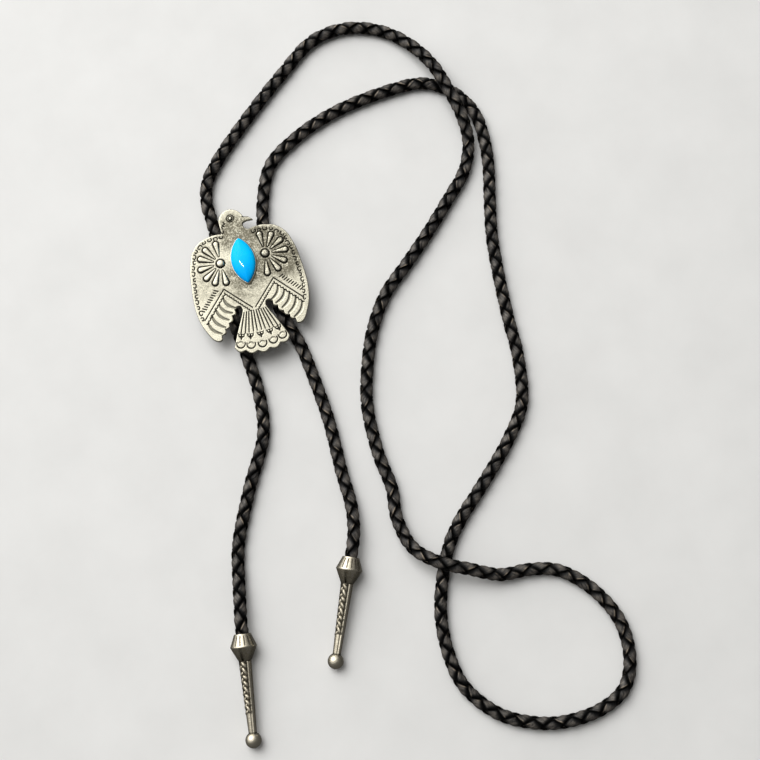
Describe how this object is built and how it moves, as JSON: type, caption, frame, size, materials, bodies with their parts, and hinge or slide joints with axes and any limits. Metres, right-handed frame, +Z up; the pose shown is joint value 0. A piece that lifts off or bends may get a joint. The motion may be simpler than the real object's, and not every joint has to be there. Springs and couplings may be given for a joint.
{
  "type": "bolo tie",
  "caption": "Bird-shaped metal slide with an oval stone on a braided leather cord that ends in cast metal tips; worn at the collar as a tie.",
  "frame": {"origin": "on the surface that the tie lies on, under the middle of the medallion's box", "axes": "+Z up from the surface, out of the medallion's face; +Y towards the bird's head; +X to the side that its beak points to"},
  "size_m": [0.1368, 0.2673, 0.0121],
  "materials": {
    "silver": "cast and stamped silver-coloured metal, polished high, antiqued dark in its recesses",
    "stone": "polished turquoise",
    "nickel": "plain satin nickel",
    "leather": "black braided leather strands, soft satin"
  },
  "bodies": {
    "root": {"medallion": "silver", "cabochon": "stone", "cord_slide": "nickel", "cord": "leather", "tip_left": "silver", "tip_right": "silver"}
  },
  "joints": []
}
